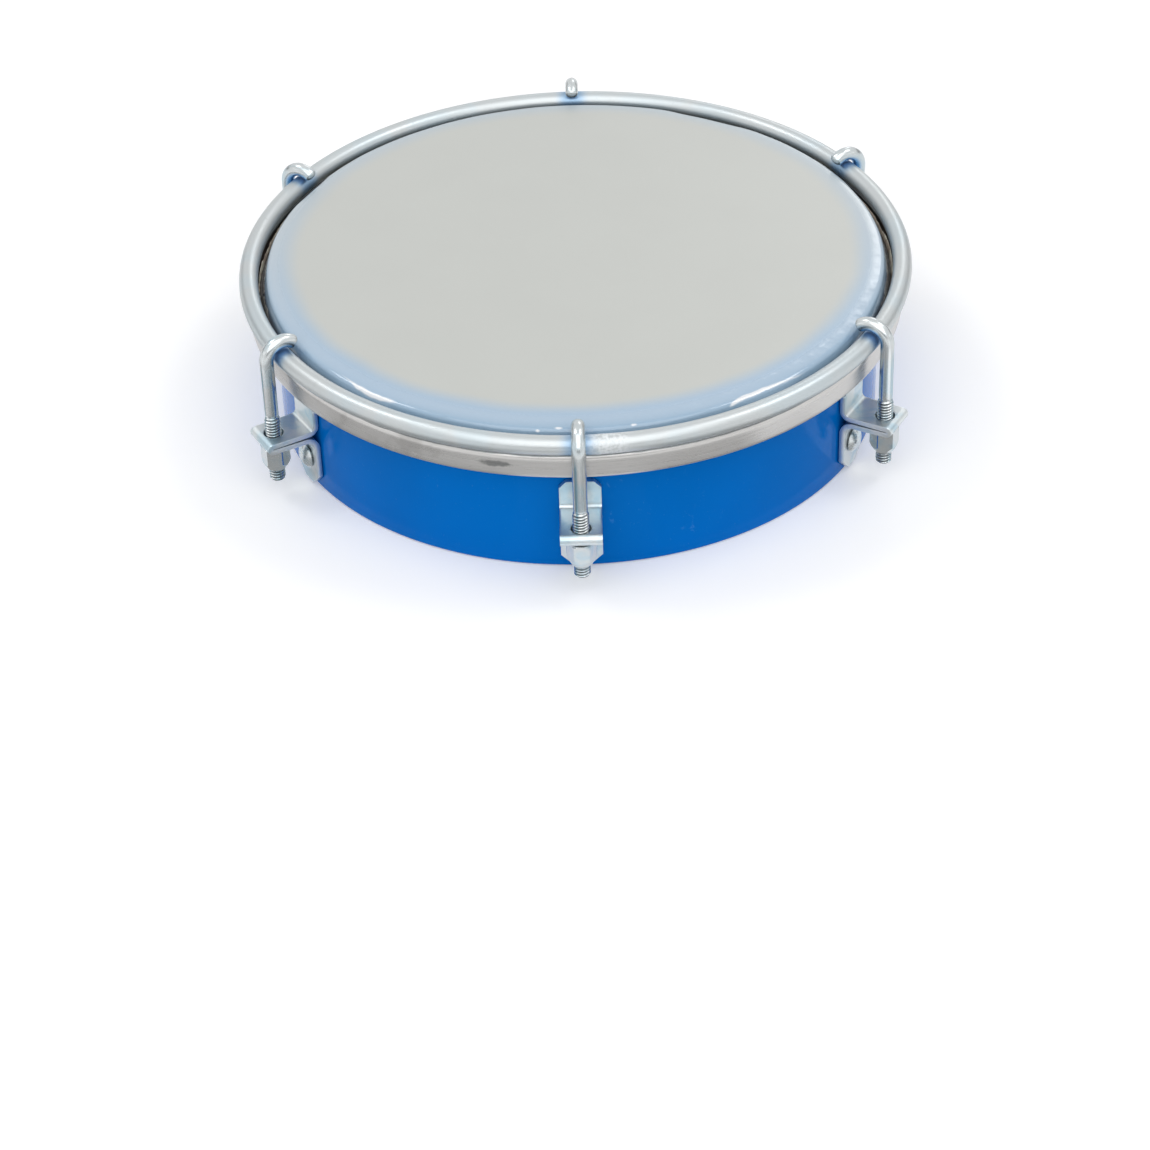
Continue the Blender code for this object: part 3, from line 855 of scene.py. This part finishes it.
class TAMBORIM_OT_hook_bolts(Operator):
    """Makes the six hook bolts, with a real thread on each"""
    bl_idname = "tamborim.hook_bolts"
    bl_label = "Hook bolts"

    def execute(self, context):
        points, groove, near_ring, pool = hook_points(context.scene.tamborim_sizes)
        material = plated_material("Zinc on the bolts", 0.24, 0.48, 120.0, 0.10, waves=1.2,
                                   bright=0.97, marks=("streak", "groove", "pool"))
        rows, columns = groove.shape
        along = np.linspace(0, 1, rows)[:, None]
        for number in LUGS:
            name = "threaded_hook_%d" % number
            # Painted reflection lines that wander along each rod, fainter near the ring.
            wander = 0.25 * np.sin(5 * along + number)
            streak = ripple(ring_of(columns) + wander, (3, 5, 8, 11), number)
            grid_piece(name, on_lug(points, number), material, "hook_%d" % number, "bolt_zinc",
                       ["hook_bolt_%d" % number], sharp=50.0, groove=groove, pool=pool,
                       streak=streak * (1 - 0.6 * near_ring))
        return {"FINISHED"}


def nut_points(sizes):
    """A tuning nut in its lug's axes. The outside's radius is the least of the hexagon's,
    half the width across flats / cos(angle from the nearest flat's middle), of the lower
    cone's, of the upper chamfer's and of a slight rounding of the corners. The bore holds
    the bolt's thread with a little room."""
    columns = 96
    angle = ring_of(columns)
    low = nut_low.z
    top = nut_high.z
    half_flats = NUT_FLATS / 2
    corner = half_flats / math.cos(math.pi / 6)
    nearest = (angle + math.pi / 6) % (math.pi / 3) - math.pi / 6
    hexagon = half_flats / np.cos(nearest)
    end_radius = 2.6 * MM
    spread = (corner - end_radius) / (2.0 * MM)
    cone_top = low + 2.3 * MM
    chamfer_low = top - 0.5 * MM
    up = np.concatenate([np.linspace(low, cone_top, 24),
                         np.linspace(cone_top, chamfer_low, 8)[1:],
                         np.linspace(chamfer_low, top, 8)[1:]])
    limit = np.minimum(end_radius + spread * (up - low), 0.985 * corner)
    limit = np.minimum(limit, half_flats * 0.97 + 1.9 * (top - up))
    outside = np.minimum(hexagon[None, :], limit[:, None])
    mouth = bolt_high.x + 0.15 * MM
    lip = mouth + 0.1 * MM
    row = np.ones((1, columns))
    bore_up = np.arange(top - 0.12 * MM, low + 0.12 * MM, -sizes.thread_pitch / 8)
    share = thread_height(bore_up, angle, sizes.thread_pitch)
    play = 0.06 * MM
    bore = bolt_high.x - sizes.thread_depth + play + sizes.thread_depth * share
    radius = np.vstack([mouth * row, outside, lip * row, bore, lip * row])
    height = np.concatenate([[low], up, [top], bore_up, [low]])[:, None]
    return points_at(radius * np.sin(angle), BOLT_RADIUS + radius * np.cos(angle), height)


class TAMBORIM_OT_tuning_nuts(Operator):
    """Makes the six tuning nuts: hexagons with a coned lower end"""
    bl_idname = "tamborim.tuning_nuts"
    bl_label = "Tuning nuts"

    def execute(self, context):
        points = nut_points(context.scene.tamborim_sizes)
        material = plated_material("Zinc on the nuts", 0.15, 0.65, 180.0, 0.08, waves=0.8,
                                   bright=1.06)
        for number in LUGS:
            grid_piece("hexagon_nut_%d" % number, on_lug(points, number), material,
                       "nut_%d" % number, "nut_zinc", ["tuning_nut_%d" % number], sharp=25.0,
                       wrap_rows=True)
        return {"FINISHED"}


def strip_path(sizes):
    """The bracket strip's middle line (out, up) from the upper tab's end to the lower tab's:
    straight tab, bend, shelf, fold, shelf back, bend, straight tab."""
    half = sizes.strip / 2
    tab = -bracket_high.y + half
    fold = 0.75 * MM
    fold_out = -bracket_low.y - half - fold
    upper_bend = 1.2 * MM + half
    lower_bend = 3.0 * MM
    shelf = SHELF_TOP - half
    under = shelf - 2 * fold
    lowered = under - 0.3 * MM
    low = bracket_low.z
    return np.vstack([
        line((tab, bracket_high.z), (tab, shelf + upper_bend), 14),
        arc((tab + upper_bend, shelf + upper_bend), upper_bend, 180, 270, 12),
        line((tab + upper_bend, shelf), (fold_out, shelf), 22)[1:],
        arc((fold_out, shelf - fold), fold, 90, -90, 16),
        line((fold_out, under), (tab + lower_bend, lowered), 16)[1:],
        arc((tab + lower_bend, lowered - lower_bend), lower_bend, 90, 180, 14),
        line((tab, lowered - lower_bend), (tab, low), 22)[1:],
        [(tab, low)]])


def bracket_block(start, end, half_width, hole=None):
    """A stretch of the strip between two places along it: points (along, share of the half
    width) and quads. Without a hole it is a plain grid. With one it is a band of quads from
    the hole's circle out to the stretch's four sides, each point of the sides joined to the
    circle's point in the same direction."""
    side = np.linspace(-1, 1, 21)
    if hole is None:
        step = 0.45 * MM
        along = np.linspace(start, end, max(2, int(round((end - start) / step)) + 1))
        return points_at(along[:, None], side), grid_quads(along.size, side.size, False, False)
    centre, radius = hole
    rings = 8
    down = np.linspace(start, end, 15)
    edge = np.vstack([points_at(start, side[:-1]), points_at(down[:-1], 1.0),
                      points_at(end, side[:0:-1]), points_at(down[:0:-1], -1.0)])
    away = np.arctan2(edge[:, 1] * half_width, edge[:, 0] - centre)
    circle = points_at(centre + radius * np.cos(away), radius * np.sin(away) / half_width)
    share = np.linspace(0, 1, rings)[:, None, None]
    return circle * (1 - share) + edge * share, grid_quads(rings, len(edge), False, True)


def bracket_mesh(sizes):
    """The bracket's middle surface in its lug's axes: (side, out, up) by the length along the
    strip and the share of its half width, with corners cut at both ends and a hole each for
    the bolt, above and below, and for the rivet. Solidify and Bevel finish it."""
    path = strip_path(sizes)
    out, up = path.T
    length = np.concatenate([[0.0], np.cumsum(np.linalg.norm(np.diff(path, axis=0), axis=1))])
    half_width = (bracket_high.x - bracket_low.x) / 2
    upper_corner = 1.7 * MM
    lower_corner = 3.0 * MM
    total = length[-1]
    shelf = np.flatnonzero(np.isclose(up, SHELF_TOP - sizes.strip / 2))
    fold_out = np.argmax(out)
    back = np.arange(fold_out + 9, fold_out + 24)
    last = np.arange(len(path) - 24, len(path))
    upper_hole = np.interp(BOLT_RADIUS, out[shelf], length[shelf])
    lower_hole = np.interp(-BOLT_RADIUS, -out[back], length[back])
    rivet_hole = np.interp(-RIVET_HEIGHT, -up[last], length[last])
    marks = [0.0, upper_corner]
    blocks = []
    for centre, radius, before, after in (
            (upper_hole, 2.5 * MM, 3.2 * MM, 2.6 * MM), (lower_hole, 2.5 * MM, 2.6 * MM, 3.2 * MM),
            (rivet_hole, 1.9 * MM, 2.6 * MM, 2.6 * MM)):
        blocks.append((centre - before, centre + after, (centre, radius)))
        marks += blocks[-1][:2]
    marks += [total - lower_corner, total]
    holed = [block[0] for block in blocks]
    blocks += [(start, end, None) for start, end in zip(marks, marks[1:]) if start not in holed]
    spots = np.empty((0, 2))
    quads = []
    for start, end, hole in blocks:
        block, faces = bracket_block(start, end, half_width, hole)
        quads.append(faces + len(spots))
        spots = np.vstack([spots, block.reshape(-1, 2)])
    along, side = spots.T
    cut = np.maximum(upper_corner - along, along - (total - lower_corner)).clip(0)
    points = points_at(side * (half_width - cut), np.interp(along, length, out),
                       np.interp(along, length, up))
    return points, np.concatenate(quads)


class TAMBORIM_OT_lug_brackets(Operator):
    """Makes the six lug brackets, each one folded strip of sheet"""
    bl_idname = "tamborim.lug_brackets"
    bl_label = "Lug brackets"

    def execute(self, context):
        sizes = context.scene.tamborim_sizes
        points, quads = bracket_mesh(sizes)
        material = plated_material("Zinc on the brackets", 0.36, 0.65, 150.0, 0.12, waves=1.6,
                                   bright=1.20)
        for number in LUGS:
            name = "folded_bracket_%d" % number
            mesh = mesh_of(name, on_lug(points, number), quads)
            close_and_face_out(mesh, weld=2e-6)
            piece = piece_of(name, mesh, material, "shell_and_lugs",
                             ["lug_bracket_%d" % number], sharp=50.0)
            wall = piece.modifiers.new("Sheet", "SOLIDIFY")
            wall.thickness = sizes.strip
            wall.offset = 0.0
            wall.use_even_offset = True
            edge = piece.modifiers.new("Pressed edge", "BEVEL")
            edge.width = 0.16 * MM
            edge.segments = 2
            edge.limit_method = "ANGLE"
            edge.angle_limit = math.radians(50)
        return {"FINISHED"}


class TAMBORIM_OT_rivets(Operator):
    """Makes the six dome-headed rivets, each turned about its own axis"""
    bl_idname = "tamborim.rivets"
    bl_label = "Rivets"

    def execute(self, context):
        tail_end = -rivet_high.y
        head_top = -rivet_low.y
        head = (rivet_high.x - rivet_low.x) / 2
        bore = SHELL_RADIUS - context.scene.tamborim_sizes.shell_wall - 0.3 * MM
        face = head_top - 1.7 * MM
        shank = 1.6 * MM
        tail = 2.4 * MM
        ease = 0.7 * MM
        rise = head_top - face - 0.25 * MM
        ball = (head ** 2 + rise ** 2) / (2 * rise)
        dome = np.linspace(math.asin(head / ball), 0.0, 14)
        outline = np.vstack([
            [(0.0, tail_end + 0.5 * MM), (0.6 * MM, tail_end + 0.5 * MM), (0.8 * MM, tail_end)],
            arc((tail - ease, tail_end + ease), ease, 270, 360, 5),
            [(tail, bore - 0.1 * MM), (tail - 0.1 * MM, bore), (shank, bore), (shank, face),
             (head - 0.08 * MM, face)],
            points_at(ball * np.sin(dome), head_top - ball + ball * np.cos(dome))])
        angle = ring_of(64)
        radius, out = outline.T[:, :, None]
        points = points_at(radius * np.sin(angle), out, RIVET_HEIGHT + radius * np.cos(angle))
        material = plated_material("Zinc on the rivets", 0.28, 0.40, 300.0, 0.12, waves=2.5,
                                   bright=1.25)
        for number in LUGS:
            grid_piece("dome_rivet_%d" % number, on_lug(points, number), material,
                       "shell_and_lugs", "rivet_zinc", ["bracket_rivet_%d" % number])
        return {"FINISHED"}


# Stage

WHITE = (1.0, 1.0, 1.0, 1.0)
BLACK = (0.0, 0.0, 0.0, 1.0)


def floor_material():
    """Near-white paper with the faintest grain."""
    material, wires, shader = new_material("White paper", 0.9)
    grain = wires.noise(wires.place(), 900.0, 2.0)
    paper = wires.painted((0.955, 0.955, 0.955, 1), (grain, (0.975, 0.975, 0.975, 1)))
    wires.give(shader, {"Specular IOR Level": 0.1, "Base Color": paper, "Emission Color": WHITE,
                        "Emission Strength": wires.times(wires.seen_by_eye(), 0.19)})
    return material


def direction(heading, height):
    """A unit vector, so many degrees anticlockwise from the front and up."""
    turn = math.radians(heading)
    rise = math.radians(height)
    return Vector((math.sin(turn) * math.cos(rise), -math.cos(turn) * math.cos(rise),
                   math.sin(rise)))


def add_lamp(name, heading, height, distance, size, brightness):
    """A soft lamp that faces the drum. Its power is brightness * pi * its area."""
    way = direction(heading, height)
    drum_middle = Vector((0.0, 0.0, 0.03))
    data = bpy.data.lights.new(name, "AREA")
    data.shape = "RECTANGLE"
    data.size, data.size_y = size
    data.energy = brightness * math.pi * size[0] * size[1]
    lamp = add_to_scene(name, data)
    lamp.location = way * distance + drum_middle
    lamp.rotation_euler = way.to_track_quat("Z", "Y").to_euler()
    lamp.visible_camera = False


def add_card(name, mesh, grey):
    """A card beside the drum that shows only in its shiny parts: black at nought, white at
    one and brighter past that."""
    material, wires, shader = new_material(name, 0.9)
    wires.give(shader, {"Base Color": BLACK, "Specular IOR Level": 0.0,
                        "Emission Color": (grey, grey, grey, 1.0), "Emission Strength": 1.0})
    mesh.materials.append(material)
    card = add_to_scene(name, mesh)
    card.visible_camera = card.visible_diffuse = card.visible_shadow = False


def add_upright_card(name, heading, height, size, grey):
    """A flat rectangle that faces the drum from two metres away."""
    way = direction(heading, height)
    across = direction(heading + 90, 0) * size[0] / 2
    upright = way.cross(across).normalized() * size[1] / 2
    middle = way * 2.0
    mesh = bpy.data.meshes.new(name)
    mesh.from_pydata([middle - across - upright, middle + across - upright,
                      middle + across + upright, middle - across + upright], [], [(0, 1, 2, 3)])
    add_card(name, mesh, grey)


def add_floor_card(name, start, end, near, far, grey):
    """A flat band round the drum, from one heading to the other."""
    turn = np.radians(np.linspace(start, end, 48))
    reach = np.array([near, far])[:, None]
    flat = points_at(reach * np.sin(turn), -reach * np.cos(turn), 0.0)
    add_card(name, grid_mesh(name, flat, wrap_columns=False), grey)


def add_world(ambient):
    """White where the camera and reflections look past the floor, and a softer level of the
    same white as light."""
    world = bpy.data.worlds.new("Studio")
    bpy.context.scene.world = world
    world.use_nodes = True
    wires = Wiring(world.node_tree)
    strength = wires.ramp(wires.seen_by_eye(), 0.0, 1.0, ambient, 1.0)
    wires.give(world.node_tree.nodes["Background"], {"Color": WHITE, "Strength": strength})


def add_camera():
    """The photograph's camera: its place, heading, tilt, roll and focal length, as fitted to
    the drum's rims, ring and hooks, and then carried 0.4 degrees anticlockwise of lug 1."""
    place = Vector((0.0, -0.6979, 0.4673))
    heading = -0.003918
    down = 0.647531
    roll = -0.034537
    focal_pixels = 3244.64
    frame_pixels = 1150
    turn = Matrix.Rotation(math.radians(0.4), 3, "Z")
    forward = Vector((math.sin(heading) * math.cos(down), math.cos(heading) * math.cos(down),
                      -math.sin(down)))
    right = Vector((math.cos(heading), -math.sin(heading), 0.0))
    up = right.cross(forward)
    tilted_right = math.cos(roll) * right + math.sin(roll) * up
    tilted_up = -math.sin(roll) * right + math.cos(roll) * up
    data = bpy.data.cameras.new("Camera")
    data.sensor_fit = "HORIZONTAL"
    data.sensor_width = 36.0
    data.lens = data.sensor_width * focal_pixels / frame_pixels
    data.clip_start = 0.01
    camera = add_to_scene("Camera", data)
    axes = Matrix((turn @ tilted_right, turn @ tilted_up, turn @ -forward)).transposed()
    camera.matrix_world = Matrix.Translation(turn @ place) @ axes.to_4x4()
    bpy.context.scene.camera = camera


class TAMBORIM_OT_stage(Operator):
    """Makes the pale floor, the soft light and the camera at the photograph's angle"""
    bl_idname = "tamborim.stage"
    bl_label = "Stage"

    def execute(self, context):
        context.scene.view_settings.view_transform = "Standard"
        outline = points_at([0.0, 0.2, 0.6, 1.5, 4.0], -0.2 * MM)
        mesh = grid_mesh("floor", turned(outline, 128))
        mesh.materials.append(floor_material())
        if mesh.polygons[0].normal.z < 0:
            mesh.flip_normals()
        floor = add_to_scene("floor", mesh)
        add_lamp("Left softbox", -107, 55, 1.5, (0.45, 0.45), 4.0)
        add_lamp("Right softbox", 102, 58, 1.5, (0.45, 0.45), 4.0)
        add_lamp("Overhead softbox", 0, 58, 1.5, (1.80, 1.20), 1.09)
        add_lamp("Front softbox", 0, 27, 1.6, (1.60, 0.40), 1.45)
        add_lamp("Back softbox", 166, 28, 1.9, (0.50, 0.35), 2.3)
        add_upright_card("Front card", 0, 6, (1.8, 0.42), 0.30)
        add_upright_card("Left card", -125, 9, (1.8, 0.42), 0.30)
        add_upright_card("Right card", 125, 9, (1.8, 0.42), 0.30)
        add_upright_card("Low left card", -72, 14, (0.9, 0.25), 1.6)
        add_upright_card("Low right card", 72, 14, (0.9, 0.25), 1.6)
        add_floor_card("Floor card", -115, 42, 0.112, 0.145, 0.56)
        add_floor_card("Left floor card", -64, -15, 0.080, 0.112, 0.40)
        add_floor_card("Right floor card", 15, 60, 0.080, 0.112, 0.40)
        add_world(ambient=0.50)
        add_camera()
        return {"FINISHED"}


class TAMBORIM_PT_parts(Panel):
    """Makes each piece at a button, and holds the sizes and colours"""
    bl_idname = "TAMBORIM_PT_parts"
    bl_label = "Tamborim"
    bl_space_type = "VIEW_3D"
    bl_region_type = "UI"
    bl_category = "Tamborim"

    def draw(self, context):
        for operator in OPERATORS:
            self.layout.operator(operator.bl_idname)
        for settings in (context.scene.tamborim_sizes, context.scene.tamborim_colours):
            column = self.layout.column()
            for label in settings.bl_rna.properties.keys():
                if label not in ("rna_type", "name"):
                    column.prop(settings, label)


OPERATORS = (
    TAMBORIM_OT_shell, TAMBORIM_OT_drumhead, TAMBORIM_OT_flesh_hoop, TAMBORIM_OT_resin,
    TAMBORIM_OT_tension_ring, TAMBORIM_OT_hook_bolts, TAMBORIM_OT_tuning_nuts,
    TAMBORIM_OT_lug_brackets, TAMBORIM_OT_rivets, TAMBORIM_OT_stage)
CLASSES = (TamborimSizes, TamborimColours, *OPERATORS, TAMBORIM_PT_parts)


def register():
    for item in CLASSES:
        bpy.utils.register_class(item)
    bpy.types.Scene.tamborim_sizes = PointerProperty(type=TamborimSizes)
    bpy.types.Scene.tamborim_colours = PointerProperty(type=TamborimColours)


def unregister():
    del bpy.types.Scene.tamborim_colours
    del bpy.types.Scene.tamborim_sizes
    for item in reversed(CLASSES):
        bpy.utils.unregister_class(item)


def main():
    register()
    for operator in OPERATORS:
        group, action = operator.bl_idname.split(".")
        getattr(getattr(bpy.ops, group), action)()


if __name__ == "__main__":
    main()
